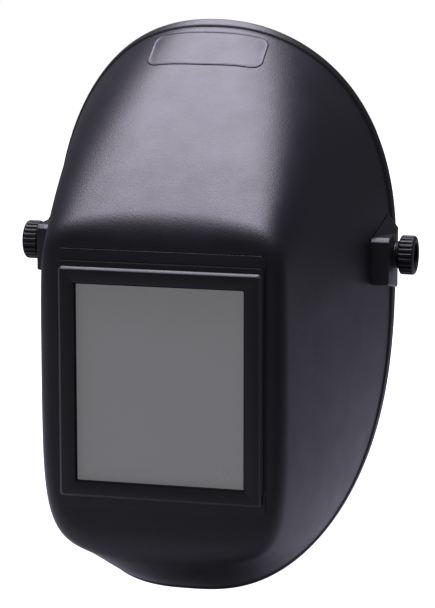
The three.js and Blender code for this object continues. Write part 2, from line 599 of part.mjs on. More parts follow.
function pinion() {
  const outline = [];
  const step = (2 * Math.PI) / PINION.teeth;
  const root = PINION.pitchRadius - PINION.dedendum;
  const tip = PINION.pitchRadius + PINION.addendum;
  const tooth = [[-0.5, root], [-0.26, root], [-0.09, tip], [0.09, tip], [0.26, root]];
  for (let i = 0; i < PINION.teeth; i += 1) {
    for (const [share, radius] of tooth) {
      const angle = Math.PI / 2 + (i + share) * step;
      outline.push(new THREE.Vector2(radius * Math.cos(angle), radius * Math.sin(angle)));
    }
  }
  const gear = slabY(new THREE.Shape(outline), GEAR_FRONT_Y, GEAR_BACK_Y);
  return cut(gear, barY(AXLE_BORE, GEAR_FRONT_Y - 1, GEAR_BACK_Y + 1, 0, 0, 16));
}

// Toothed tail of the headband; the right one passes above the pinion and the left one below.
function toothedTail(side) {
  const tipLine = PINION.pitchRadius - PINION.addendum + 0.1;
  const rootLine = PINION.pitchRadius + PINION.dedendum;
  const half = RACK.length / 2;
  const shape = new THREE.Shape();
  shape.moveTo(half, rootLine + RACK.back);
  shape.lineTo(-half, rootLine + RACK.back);
  shape.lineTo(-half, rootLine);
  const count = Math.floor(half / PITCH - 0.5);
  for (let i = -count; i < count; i += 1) {
    const centre = (i + 0.5) * PITCH;
    shape.lineTo(centre - 0.25 * PITCH, rootLine);
    shape.lineTo(centre - 0.1 * PITCH, tipLine);
    shape.lineTo(centre + 0.1 * PITCH, tipLine);
    shape.lineTo(centre + 0.25 * PITCH, rootLine);
  }
  shape.lineTo(half, rootLine);
  const tail = slabY(shape, GEAR_FRONT_Y, GEAR_BACK_Y);
  return side < 0 ? tail : tail.rotateY(Math.PI);
}

// One feature at each of the two screws of the ratchet.
function atBothEnds(make) {
  return [make(-SCREW_X), make(SCREW_X)];
}

// Open tray at the nape that guides both toothed tails.
function ratchetHousing() {
  const { halfWidth, halfHeight, depth, wall, corner, startY } = HOUSING;
  const endY = startY + depth;
  const body = slabY(roundedRectangle(2 * halfWidth, 2 * halfHeight, corner), startY, endY);
  const roomShape = roundedRectangle(2 * (halfWidth - wall), 2 * (halfHeight - wall), corner - wall);
  const room = slabY(roomShape, startY + wall, endY + 1);
  const posts = atBothEnds((x) => barY(SCREW.post, startY + 1, endY, x, 0, 16));
  const bores = atBothEnds((x) => barY(SCREW.radius + GAP, startY + 1, endY + 1, x, 0, 12));
  const shaft = barY(AXLE_BORE, startY - 1, startY + wall + 1, 0, 0, 16);
  return cut(join(cut(body, room), ...posts), ...bores, shaft);
}

function ratchetCover() {
  const shape = roundedRectangle(2 * HOUSING.halfWidth, 2 * HOUSING.halfHeight, HOUSING.corner);
  const body = slabY(shape, COVER_START_Y, COVER_END_Y);
  const front = COVER_START_Y - 1;
  const back = COVER_END_Y + 1;
  const holes = atBothEnds((x) => barY(SCREW.radius + 2 * GAP, front, back, x, 0, 12));
  return cut(body, barY(RATCHET_KNOB.hub + GAP + 0.1, front, back, 0, 0, 20), ...holes);
}

function coverScrew(end) {
  const x = end * SCREW_X;
  const outside = COVER_END_Y + GAP;
  const shank = barY(SCREW.radius, HOUSING.startY + HOUSING.wall + 2, outside + 0.5, x, 0, 10);
  return join(shank, barY(SCREW.headRadius, outside, outside + SCREW.head, x, 0, 16));
}

// Lobed knob with a hub that reaches through the cover.
function ratchetKnob() {
  const { lobes, lobeDepth, radius, hub, well } = RATCHET_KNOB;
  const steps = lobes * 4;
  const outline = Array.from({ length: steps }, (_, i) => {
    const angle = (i / steps) * 2 * Math.PI;
    const reach = radius - lobeDepth + lobeDepth * Math.cos(angle * lobes);
    return new THREE.Vector2(reach * Math.cos(angle), reach * Math.sin(angle));
  });
  const grip = slabY(new THREE.Shape(outline), RATCHET_KNOB_Y, RATCHET_KNOB_END_Y);
  const hubBar = barY(hub, GEAR_BACK_Y + GAP, RATCHET_KNOB_Y + 1, 0, 0, 20);
  const wellBar = barY(well, RATCHET_KNOB_END_Y - RATCHET_KNOB.wellDepth, RATCHET_KNOB_END_Y + 1);
  const bore = barY(AXLE_BORE, GEAR_BACK_Y - 1, RATCHET_KNOB_END_Y, 0, 0, 16);
  return cut(join(grip, hubBar), wellBar, bore);
}

// Axle screw through knob and pinion.
function ratchetAxle() {
  const headY = RATCHET_KNOB_END_Y - RATCHET_KNOB.wellDepth + GAP;
  const shank = barY(AXLE.radius, HOUSING.startY + 0.5, headY + 0.5, 0, 0, 16);
  return join(shank, barY(AXLE.headRadius, headY, headY + AXLE.head, 0, 0, 20));
}

function napePad() {
  const back = NAPE.backY - BAND_THICKNESS - 0.8;
  const width = 2 * (HOUSING.halfWidth - 6);
  const shape = roundedRectangle(width, NAPE.height + PAD.nape, PAD.corner);
  return slabY(shape, back - PAD.thickness, back);
}

// ---- Assembly -----------------------------------------------------------------------------
const BLACK_SHELL = { color: 0x2c2c33, roughness: 0.42, metalness: 0 };
const BLACK_PLASTIC = { color: 0x1d1d20, roughness: 0.5, metalness: 0 };
const DARK_GRAY_PLASTIC = { color: 0x35353a, roughness: 0.6, metalness: 0 };
const GRAY_GLASS = { color: 0x6e6e70, roughness: 0.15, metalness: 0 };
const CLEAR_PLASTIC = { color: 0x9a9a9c, roughness: 0.1, metalness: 0 };
const BLACK_RUBBER = { color: 0x151516, roughness: 0.85, metalness: 0 };
const STEEL = { color: 0xa8a8a8, roughness: 0.35, metalness: 1 };
const BRASS = { color: 0xb08d4a, roughness: 0.4, metalness: 1 };
const FOAM = { color: 0x4a4744, roughness: 0.95, metalness: 0 };

const helmet = new THREE.Group();

function add(name, geometry, material) {
  const mesh = new THREE.Mesh(geometry, new THREE.MeshStandardMaterial(material));
  mesh.name = name;
  helmet.add(mesh);
}

add('shell', shell(), BLACK_SHELL);
add('window_frame', windowFrame(), BLACK_PLASTIC);
add('clamp_ring', clampRing(), BLACK_PLASTIC);
add('cover_plate', plate(COVER_FRONT_Y, COVER_PLATE_THICKNESS), CLEAR_PLASTIC);
add('lens_gasket', lensGasket(), BLACK_RUBBER);
add('filter_plate', plate(FILTER_FRONT_Y, FILTER_PLATE_THICKNESS), GRAY_GLASS);
add('inner_plate', plate(INNER_FRONT_Y, COVER_PLATE_THICKNESS), CLEAR_PLASTIC);
add('lens_retainer', lensRetainer(), DARK_GRAY_PLASTIC);
add('lens_bail_top', lensBail(1), STEEL);
add('lens_bail_bottom', lensBail(-1), STEEL);

function washer({ radius, x, thickness }, side) {
  return tube(radius, BOLT.radius + GAP, x, x + thickness, side);
}

for (const [side, label] of [[-1, 'right'], [1, 'left']]) {
  const insert = tube(INSERT.radius, BOLT.radius + GAP, INSERT.startX, INSERT.endX, side);
  add(`knob_${label}`, knob(side), BLACK_PLASTIC);
  add(`knob_insert_${label}`, insert, BRASS);
  add(`tension_washer_${label}`, washer(TENSION_WASHER, side), BLACK_PLASTIC);
  add(`friction_washer_${label}`, washer(FRICTION_WASHER, side), BLACK_RUBBER);
  add(`pivot_bolt_${label}`, pivotBolt(side), STEEL);
  add(`pivot_arm_${label}`, pivotArm(side), DARK_GRAY_PLASTIC);
  add(`front_arm_rivet_${label}`, armRivet(side, ARM_RIVET_Y[0]), STEEL);
  add(`rear_arm_rivet_${label}`, armRivet(side, ARM_RIVET_Y[1]), STEEL);
  add(`crown_strap_${label}`, crownStrap(side), BLACK_PLASTIC);
  add(`strap_rivet_${label}`, strapRivet(side), STEEL);
  add(`toothed_tail_${label}`, toothedTail(side), BLACK_PLASTIC);
  add(`cover_screw_${label}`, coverScrew(side), STEEL);
}

add('crown_pin', crownPin(), BLACK_PLASTIC);
add('headband', headband(), BLACK_PLASTIC);
add('sweatband', sweatband(), FOAM);
add('nape_band', napeBand(), BLACK_PLASTIC);
add('nape_pad', napePad(), FOAM);
add('ratchet_housing', ratchetHousing(), BLACK_PLASTIC);
add('ratchet_cover', ratchetCover(), DARK_GRAY_PLASTIC);
add('pinion', pinion(), DARK_GRAY_PLASTIC);
add('ratchet_knob', ratchetKnob(), BLACK_PLASTIC);
add('ratchet_axle', ratchetAxle(), STEEL);

export default helmet;
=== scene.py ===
"""Welding helmet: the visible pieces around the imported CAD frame.

Shapes are worked out in millimetres, in the frame's axes: +Z up, face towards -Y, wearer's left at +X.
"""
import json
import math

import bmesh
import bpy
import numpy as np
from mathutils import Matrix, Vector
from mathutils.bvhtree import BVHTree


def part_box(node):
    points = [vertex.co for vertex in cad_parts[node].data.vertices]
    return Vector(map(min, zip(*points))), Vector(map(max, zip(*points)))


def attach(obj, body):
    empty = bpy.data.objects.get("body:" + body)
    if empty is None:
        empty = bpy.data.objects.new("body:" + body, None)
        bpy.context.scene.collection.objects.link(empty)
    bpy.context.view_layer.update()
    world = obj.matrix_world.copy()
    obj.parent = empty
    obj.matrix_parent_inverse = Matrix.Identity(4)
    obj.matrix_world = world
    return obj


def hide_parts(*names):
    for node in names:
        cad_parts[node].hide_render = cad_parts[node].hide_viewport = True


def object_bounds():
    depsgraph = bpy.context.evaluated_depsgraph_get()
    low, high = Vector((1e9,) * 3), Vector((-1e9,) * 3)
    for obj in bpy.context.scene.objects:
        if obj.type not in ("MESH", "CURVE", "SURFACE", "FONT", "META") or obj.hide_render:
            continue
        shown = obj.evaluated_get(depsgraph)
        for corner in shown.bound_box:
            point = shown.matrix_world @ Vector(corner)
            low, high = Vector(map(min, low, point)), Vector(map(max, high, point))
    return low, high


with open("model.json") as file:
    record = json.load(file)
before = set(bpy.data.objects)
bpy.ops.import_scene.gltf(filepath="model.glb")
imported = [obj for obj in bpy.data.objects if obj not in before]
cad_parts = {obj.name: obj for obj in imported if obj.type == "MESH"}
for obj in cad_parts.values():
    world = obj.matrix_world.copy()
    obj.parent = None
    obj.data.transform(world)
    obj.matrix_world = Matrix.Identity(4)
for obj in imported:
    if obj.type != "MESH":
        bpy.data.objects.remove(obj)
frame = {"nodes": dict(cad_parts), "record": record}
cad_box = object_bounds()
nodes = frame["nodes"]
MM = 0.001

# ---- Shell, in millimetres ----------------------------------------------------------------
SHELL_WALL = 2.8
# Rear rim: a superellipse seen from behind, bent forward at the top and at the chin.
RIM = {"half_width": 111.4, "centre_z": 2.5, "up": 142.8, "down": 206.0}
RIM |= {"power_up": 2.14, "power_down": 2.8}
RIM_Y = {"pivot": 16.4, "temple": 5.6, "crown": -30.5, "chin": -75.0, "chin_power": 3.36}
# Flat face: a superellipse too, and how far its rounded edge reaches.
FACE = {"half_width": 74.6, "centre_z": -35.0, "up": 67.0, "down": 132.0}
FACE |= {"power_up": 6.5, "power_down": 6.2}
FACE_EDGE = {"side": 8.0, "top": 15.0, "chin": 14.0}
SHOULDER_SHIFT = 0.35  # radians by which the upper shoulder leans towards the crown
BULGE = {"side": 2.5, "crown": 5.0, "chin": 5.0, "shoulder": 7.0}
# Bead along the rim with a shallow groove in front of it: distance from the rim, height over the wall.
BEAD = [(0.0, 0.35), (0.3, 0.8), (0.8, 1.05), (1.6, 1.1), (3.4, 1.1), (5.0, 1.08), (5.7, 0.95), (6.1, 0.55)]
BEAD += [(6.35, 0.0), (6.6, -0.25), (7.0, -0.3), (7.4, -0.15), (7.9, 0.0), (8.8, 0.0)]
# Rounded rear edge of the rim: share of the wall from inside to outside, distance behind it.
RIM_EDGE = [(0.12, 0.224), (0.35, 0.336), (0.65, 0.336), (0.88, 0.24)]

# ---- Side bosses and pivots, in millimetres -----------------------------------------------
BOSS = {"root_x": 96.0, "outer_x": 114.8, "front_y": -21.0, "back_y": 9.5, "top_z": 13.2, "bottom_z": -16.3}
BOSS |= {"rear_bottom_z": -22.5, "corner": 0.8, "chamfer": 2.7}
GUSSET = {"foot_x": 103.0, "front_x": 107.0, "back_x": 108.6, "peak_y": 6.0, "front_z": 24.0, "back_z": 24.4}
GUSSET |= {"outside_y": 2.9, "outside_z": 15.8}
GROOVE = {"start": (103.2, -19.4, 12.6), "end": (107.6, 6.6, 24.3), "outward": (0.97, -0.22, 0.0)}
GROOVE |= {"half_width": 0.45, "depth": 1.3, "clearance": 3.0}
POCKET = {"open_x": 90.0, "floor_x": 112.0, "front_y": -18.0, "back_y": 7.3, "half_height": 10.4}
BOLT_HOLE = {"radius": 3.4, "start_x": 110.0, "end_x": 117.0}
KNOB = {"neck_x": 116.2, "radius": 12.4, "rib": 0.9, "ribs": 24, "bore": 5.3}
KNOB |= {"recess": 8.2, "recess_depth": 4.6}

# ---- Window and plaque, in millimetres ----------------------------------------------------
PLINTH = {"width": 129.0, "height": 158.0, "lift": 1.8, "corner": 4.0, "proud": 0.6}
SKIRT = {"width": 118.4, "height": 137.5, "corner": 1.4, "wall": 1.8}
SKIRT_CLEARANCE = 0.6
FRAME_SIZE = {"width": 125.2, "height": 140.8, "corner": 2.6, "lip": 3.2, "sunk": 0.9}
FLANGE = {"width": 127.0, "height": 137.6, "lift": 4.9, "corner": 3.0, "proud": 1.4}
APERTURE = {"width": 103.6, "height": 120.4, "corner": 0.8}
CLAMP_SEAT = {"width": 125.2, "height": 144.0, "corner": 5.5, "front_y": -134.9, "back_y": -125.7}
PLAQUE = {"width": 74.0, "height": 30.0, "corner": 7.0, "centre": (0.0, -25.6, 126.1), "slope": 42.0}

# ---- Soft pads, in millimetres ------------------------------------------------------------
PAD = {"shrink": 0.7, "swell": 1.1, "voxel": 2.4, "pressure": 4.0}
CLOTH_FRAMES = 20


def box_mm(node):
    """Lowest and highest corner of a CAD node in millimetres."""
    low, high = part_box(node)
    return np.array(low) / MM, np.array(high) / MM


SHELL_LOW, _ = box_mm("shell")
FRAME_LOW, FRAME_HIGH = box_mm("window_frame")
WINDOW_Z = (box_mm("cover_plate")[0][2] + box_mm("cover_plate")[1][2]) / 2
FACE_Y = -SHELL_LOW[1] - PLINTH["proud"]
KNOB_END = box_mm("knob_left")[1][0]


# ---- Mesh helpers -------------------------------------------------------------------------
def object_from(name, vertices, faces, smooth_angle=32.0):
    """A new object from vertices in millimetres, smooth except where faces meet at a steep angle."""
    mesh = bpy.data.meshes.new(name)
    mesh.from_pydata([tuple(v) for v in np.asarray(vertices) * MM], [], [tuple(f) for f in faces])
    mesh.validate()
    made = bpy.data.objects.new(name, mesh)
    bpy.context.scene.collection.objects.link(made)
    smooth(made, smooth_angle)
    return made


def smooth(obj, angle=32.0):
    """Smooth shading, with edges steeper than the angle in degrees kept sharp."""
    obj.data.polygons.foreach_set("use_smooth", [True] * len(obj.data.polygons))
    obj.data.set_sharp_from_angle(angle=math.radians(angle))
    obj.data.update()


def rows_to_faces(row_count, around, closed_rows):
    """Quads between rings of equal point count; closed_rows joins the last ring to the first."""
    faces = []
    last = row_count if closed_rows else row_count - 1
    for row in range(last):
        here = row * around
        above = ((row + 1) % row_count) * around
        for i in range(around):
            j = (i + 1) % around
            faces.append((here + i, here + j, above + j, above + i))
    return faces


def make_outward(obj):
    """Turns all faces of a closed mesh outward."""
    mesh = bmesh.new()
    mesh.from_mesh(obj.data)
    bmesh.ops.recalc_face_normals(mesh, faces=mesh.faces[:])
    mesh.to_mesh(obj.data)
    mesh.free()
    obj.data.update()


def apply_modifiers(obj):
    """Replaces the mesh by what its modifiers make of it."""
    graph = bpy.context.evaluated_depsgraph_get()
    mesh = bpy.data.meshes.new_from_object(obj.evaluated_get(graph))
    obj.modifiers.clear()
    old = obj.data
    obj.data = mesh
    bpy.data.meshes.remove(old)


def combine(obj, tool, operation):
    """Boolean of obj with tool; the tool is used up."""
    modifier = obj.modifiers.new("combine", "BOOLEAN")
    modifier.object = tool
    modifier.operation = operation
    modifier.solver = "MANIFOLD"
    bpy.context.view_layer.update()
    apply_modifiers(obj)
    bpy.data.objects.remove(tool)


def rounded_ring(width, height, corner, y, centre_z, per_corner=10, per_side=14):
    """Points of a rounded rectangle in a plane of constant y, the same count for every ring."""
    points = []
    corner = max(corner, 0.02)
    half_x, half_z = width / 2 - corner, height / 2 - corner
    centres = [(half_x, half_z, 0), (-half_x, half_z, 90), (-half_x, -half_z, 180), (half_x, -half_z, 270)]
    for index, (cx, cz, start) in enumerate(centres):
        for k in range(per_corner + 1):
            angle = math.radians(start + 90 * k / per_corner)
            points.append((cx + corner * math.cos(angle), y, centre_z + cz + corner * math.sin(angle)))
        nx, nz, _ = centres[(index + 1) % 4]
        finish_angle = math.radians(start + 90)
        a = np.array([cx + corner * math.cos(finish_angle), cz + corner * math.sin(finish_angle)])
        b = np.array([nx + corner * math.cos(finish_angle), nz + corner * math.sin(finish_angle)])
        for k in range(1, per_side):
            x, z = a + (b - a) * k / per_side
            points.append((x, y, centre_z + z))
    return points


def ring_sweep(name, rows):
    """A closed ring solid through rounded rectangles, each row (width, height, corner, y, centre z)."""
    rings = [rounded_ring(*row) for row in rows]
    vertices = [point for ring in rings for point in ring]
    made = object_from(name, vertices, rows_to_faces(len(rings), len(rings[0]), True))
    make_outward(made)
    return made


def slab(name, width, height, corner, y0, y1, centre_z):
    """A flat rounded rectangle made solid between two planes of constant y."""
    front = rounded_ring(width, height, corner, y0, centre_z)
    back = rounded_ring(width, height, corner, y1, centre_z)
    count = len(front)
    faces = rows_to_faces(2, count, False)
    faces += [tuple(range(count)), tuple(range(2 * count - 1, count - 1, -1))]
    made = object_from(name, front + back, faces)
    make_outward(made)
    return made


def block(name, x0, x1, y0, y1, z0, z1):
    """A box between the given limits in millimetres."""
    corners = [(x, y, z) for x in (x0, x1) for y in (y0, y1) for z in (z0, z1)]
    return hull(name, corners)


def hull(name, points, bevel=0.0, segments=3):
    """The convex solid around the points, with its edges rounded by bevel millimetres."""
    mesh = bmesh.new()
    for point in points:
        mesh.verts.new(Vector(point) * MM)
    bmesh.ops.convex_hull(mesh, input=mesh.verts[:])
    bmesh.ops.dissolve_limit(mesh, angle_limit=0.02, verts=mesh.verts[:], edges=mesh.edges[:])
    if bevel:
        bmesh.ops.bevel(
            mesh, geom=mesh.edges[:], offset=bevel * MM, segments=segments, affect="EDGES", profile=0.5
        )
    bmesh.ops.recalc_face_normals(mesh, faces=mesh.faces[:])
    data = bpy.data.meshes.new(name)
    mesh.to_mesh(data)
    mesh.free()
    made = bpy.data.objects.new(name, data)
    bpy.context.scene.collection.objects.link(made)
    smooth(made)
    return made


def turned(name, profile, around=96, ribs=0):
    """A closed ring solid turned about the X axis; profile rows are (x, radius, rib depth) in millimetres."""
    vertices = []
    for x, radius, depth in profile:
        for i in range(around):
            angle = 2 * math.pi * i / around
            wave = 0.5 - 0.5 * math.cos(angle * ribs) if ribs else 0.0
            r = radius - depth * (1 - min(1.0, 1.7 * wave))
            vertices.append((x, r * math.cos(angle), r * math.sin(angle)))
    made = object_from(name, vertices, rows_to_faces(len(profile), around, True))
    make_outward(made)
    return made


def mirror_x(obj):
    """Mirrors the mesh to the other side of the helmet."""
    obj.data.transform(Matrix.Scale(-1, 4, (1, 0, 0)))
    obj.data.flip_normals()
    obj.data.update()


# ---- Shell surface ------------------------------------------------------------------------
def superellipse(angle, outline, inset):
    """Points of a superellipse with its upper and lower half of different reach, one per angle."""
    upper = np.sin(angle) >= 0
    power = np.where(upper, outline["power_up"], outline["power_down"])
    reach = np.where(upper, outline["up"], outline["down"]) - inset
    across = np.abs(np.cos(angle)) / (outline["half_width"] - inset)
    along = np.abs(np.sin(angle)) / reach
    radius = (across**power + along**power) ** (-1 / power)
    return radius * np.cos(angle), outline["centre_z"] + radius * np.sin(angle)


def rim_depth(z):
    """The y of the rear rim at a height; it runs forward towards the crown and the chin."""
    rise = np.clip(z, 0, None) / (RIM["centre_z"] + RIM["up"])
    above = RIM_Y["pivot"] + RIM_Y["temple"] * rise**2 + RIM_Y["crown"] * rise**4
    share = np.clip(z / (RIM["centre_z"] - RIM["down"]), 0, None)
    below = RIM_Y["pivot"] + (RIM_Y["chin"] - RIM_Y["pivot"]) * share ** RIM_Y["chin_power"]
    return np.where(z > 0, above, below)


def swell(angle):
    """How far the wall bulges out between the rim and the face."""
    up = np.maximum(0, np.sin(angle))
    down = np.maximum(0, -np.sin(angle))
    shoulder = np.sin(2 * angle) ** 2 * up * BULGE["shoulder"]
    return BULGE["side"] * np.cos(angle) ** 2 + BULGE["crown"] * up**2 + BULGE["chin"] * down**2 + shoulder


def edge_reach(angle):
    """How far the rounded edge of the face reaches to either side of its corner."""
    up = np.maximum(0, np.sin(angle)) ** 4
    down = np.maximum(0, -np.sin(angle)) ** 4
    side = FACE_EDGE["side"]
    return side + (FACE_EDGE["top"] - side) * up + (FACE_EDGE["chin"] - side) * down


def wall_rings(angles, inset, distances, wall_steps, edge_steps):
    """Rings of points from the rim to the flat of the face.

    distances are the first ring positions along the wall, in millimetres from the rim.
    """
    shifted = angles + SHOULDER_SHIFT * np.sin(2 * angles) * (np.sin(angles) > 0)
    x, z = superellipse(shifted, RIM, inset)
    rim = np.stack([x, rim_depth(z), z], -1)
    x, z = superellipse(angles, FACE, inset)
    corner = np.stack([x, np.full_like(x, -FACE_Y + inset), z], -1)
    outward = np.stack([np.cos(angles), 0 * angles, np.sin(angles)], -1)
    bulge = outward * swell(angles)[:, None]
    third = rim + (corner - rim) / 3 + bulge
    two_thirds = rim + (corner - rim) * 2 / 3 + bulge
    t = np.linspace(0, 1, 241)[:, None, None]
    near = (1 - t) ** 3 * rim + 3 * (1 - t) ** 2 * t * third
    curve = near + 3 * (1 - t) * t * t * two_thirds + t**3 * corner
    steps = np.linalg.norm(np.diff(curve, axis=0), axis=-1)
    travelled = np.vstack([np.zeros(len(angles)), np.cumsum(steps, axis=0)])
    length = travelled[-1]
    reach = edge_reach(angles)

    def at(distance):
        """The ring at one distance per angle along the wall."""
        ring = np.empty_like(rim)
        for i in range(len(angles)):
            for axis in range(3):
                ring[i, axis] = np.interp(distance[i], travelled[:, i], curve[:, i, axis])
        return ring

    rings = [at(np.full(len(angles), float(d))) for d in distances]
    start = distances[-1]
    for k in range(1, wall_steps):
        share = k / wall_steps
        rings.append(at(start + (length - reach - start) * share))
    wall_end = at(length - reach)
    centre = np.array([0.0, -FACE_Y + inset, FACE["centre_z"]])
    to_centre = centre - corner
    face_start = corner + to_centre * (reach / np.linalg.norm(to_centre, axis=-1))[:, None]
    for k in range(edge_steps + 1):
        s = k / edge_steps
        rings.append((1 - s) ** 2 * wall_end + 2 * s * (1 - s) * corner + s * s * face_start)
    return rings, outward


def rectangle_by_angle(angles, width, height, corner, y, centre_z):
    """Points where rays from the centre meet a rounded rectangle, one per angle."""
    half = np.array([width / 2, height / 2])
    direction = np.stack([np.cos(angles), np.sin(angles)], -1)
    low = np.zeros(len(angles))
    high = np.full(len(angles), float(width + height))
    for _ in range(40):
        middle = (low + high) / 2
        point = np.abs(direction * middle[:, None])
        over = point - (half - corner)
        outside = np.linalg.norm(np.maximum(over, 0), axis=-1) + np.minimum(over.max(-1), 0) > corner
        high = np.where(outside, middle, high)
        low = np.where(outside, low, middle)
    flat = direction * low[:, None]
    return np.stack([flat[:, 0], np.full(len(angles), float(y)), centre_z + flat[:, 1]], -1)


def skirt_opening():
    """Width, height and corner of the opening in the face that the frame's skirt goes through."""
    return SKIRT["width"] + SKIRT_CLEARANCE, SKIRT["height"] + SKIRT_CLEARANCE, SKIRT["corner"]


def make_shell():
    """The moulded wall with its bead, its flat face and the opening for the window frame."""
    around = 420
    angles = np.linspace(0, 2 * np.pi, around, endpoint=False)
    outer, outward = wall_rings(angles, 0.0, [distance for distance, _ in BEAD], wall_steps=34, edge_steps=14)
    for ring, (_, height) in zip(outer, BEAD):
        ring += outward * height
    inner, _ = wall_rings(angles, SHELL_WALL, [0.0, 0.6, 1.4, 3.0], wall_steps=24, edge_steps=8)
    opening = skirt_opening()
    opening_front = rectangle_by_angle(angles, *opening, -FACE_Y, WINDOW_Z)
    opening_back = rectangle_by_angle(angles, *opening, -FACE_Y + SHELL_WALL, WINDOW_Z)
    face = [outer[-1] + (opening_front - outer[-1]) * k / 6 for k in range(1, 6)]
    inside_face = [inner[-1] + (opening_back - inner[-1]) * k / 5 for k in range(1, 5)]
    rings = outer + face + [opening_front, opening_back]
    rings += inside_face[::-1] + inner[::-1]
    inner_rim, outer_rim = inner[0], outer[0]
    for share, behind in RIM_EDGE:
        rings.append(inner_rim + (outer_rim - inner_rim) * share + np.array([0.0, behind, 0.0]))
    vertices = np.concatenate(rings)
    made = object_from("face_shell_moulding", vertices, rows_to_faces(len(rings), around, True))
    make_outward(made)
    return made


def make_boss(side):
    """The block that carries the pivot: a chamfered front edge and a gusset that runs up along the wall."""
    root_x, outer_x, back_y, top_z = (BOSS[key] for key in ("root_x", "outer_x", "back_y", "top_z"))
    chamfer_y = BOSS["front_y"] + BOSS["chamfer"]
    sections = [(BOSS["front_y"], top_z - BOSS["chamfer"], BOSS["bottom_z"])]
    sections += [(chamfer_y, top_z, BOSS["bottom_z"]), (back_y, top_z, BOSS["rear_bottom_z"])]
    points = []
    for y, top, bottom in sections:
        points += [(root_x, y, top), (outer_x, y, top), (outer_x, y, bottom + BOSS["corner"])]
        points += [(outer_x - BOSS["corner"], y, bottom), (root_x, y, bottom)]
    boss = hull(f"boss_{side}", [(side * x, y, z) for x, y, z in points], bevel=0.5)
    foot_x, outside_y, peak_y = GUSSET["foot_x"], GUSSET["outside_y"], GUSSET["peak_y"]
    points = [(x, chamfer_y, z) for x in (root_x, foot_x) for z in (0, top_z)]
    points += [(outer_x, outside_y, 0), (outer_x, outside_y, top_z)]
    points += [(outer_x, back_y, GUSSET["outside_z"]), (outer_x, back_y, 0)]
    points += [(root_x, peak_y, GUSSET["front_z"]), (GUSSET["front_x"], peak_y, GUSSET["front_z"])]
    points += [(GUSSET["back_x"], back_y, GUSSET["back_z"])]
    points += [(root_x, back_y, GUSSET["back_z"]), (root_x, back_y, 0)]
    combine(boss, hull("gusset", [(side * x, y, z) for x, y, z in points], bevel=0.4), "UNION")
    return boss


def make_groove(side):
    """A narrow slot along the line where the gusset meets the wall."""
    start, end, outward = (np.array(GROOVE[key]) for key in ("start", "end", "outward"))
    along = (end - start) / np.linalg.norm(end - start)
    across = np.cross(along, outward)
    across /= np.linalg.norm(across)
    points = []
    for place in (start, end):
        for height in (-GROOVE["depth"], GROOVE["clearance"]):
            for shift in (-GROOVE["half_width"], GROOVE["half_width"]):
                points.append(place + outward * height + across * shift)
    return hull(f"groove_{side}", [(side * x, y, z) for x, y, z in points])


def top_rounded_rows(size, edge, base_y, side_share):
    """Rows of a raised panel whose edge draws in at the top; edge rows are (inset at the top, height)."""
    centre = WINDOW_Z + size["lift"]
    rows = []
    for inset, height in edge:
        width = size["width"] - inset * side_share
        rows.append((width, size["height"] - inset, size["corner"], base_y - height, centre - inset / 2))
    return rows


def make_plinth():
    """The slightly raised panel that the window frame sits on, rounded along its upper edge."""
    proud, embedded = PLINTH["proud"], 1.0
    edge = [(0.0, -embedded), (0.0, 0.5), (0.05, 0.57), (0.16, proud)]
    rows = top_rounded_rows(PLINTH, edge, -FACE_Y, 0.3)
    opening = skirt_opening()
    rows += [(*opening, -FACE_Y - proud, WINDOW_Z), (*opening, -FACE_Y + embedded, WINDOW_Z)]
    return ring_sweep("plinth", rows)


def make_pocket(side):
    """The recess behind a boss, where the arm of the headgear goes."""
    x0, x1 = sorted((side * POCKET["open_x"], side * POCKET["floor_x"]))
    half = POCKET["half_height"]
    return block("pocket", x0, x1, POCKET["front_y"], POCKET["back_y"], -half, half)


def make_bolt_hole(side):
    """A round bar about the pivot axis; its bore is too thin to leave anything standing."""
    bore = 0.01
    start, end, radius = BOLT_HOLE["start_x"], BOLT_HOLE["end_x"], BOLT_HOLE["radius"]
    hole = turned("hole", [(start, bore, 0), (start, radius, 0), (end, radius, 0), (end, bore, 0)], around=40)
    if side < 0:
        mirror_x(hole)
    return hole


def make_face_shell():
    """The whole moulding: wall, plinth and bosses, with the cuts for the headgear and the window frame."""
    moulding = make_shell()
    combine(moulding, make_plinth(), "UNION")
    for side in (-1, 1):
        combine(moulding, make_boss(side), "UNION")
        combine(moulding, make_groove(side), "DIFFERENCE")
    for side in (-1, 1):
        combine(moulding, make_pocket(side), "DIFFERENCE")
        combine(moulding, make_bolt_hole(side), "DIFFERENCE")
    seat = [CLAMP_SEAT[key] for key in ("width", "height", "corner", "front_y", "back_y")]
    combine(moulding, slab("seat", *seat, WINDOW_Z), "DIFFERENCE")
    smooth(moulding)
    return moulding


shell = make_face_shell()
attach(shell, "face_shell")
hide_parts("shell")


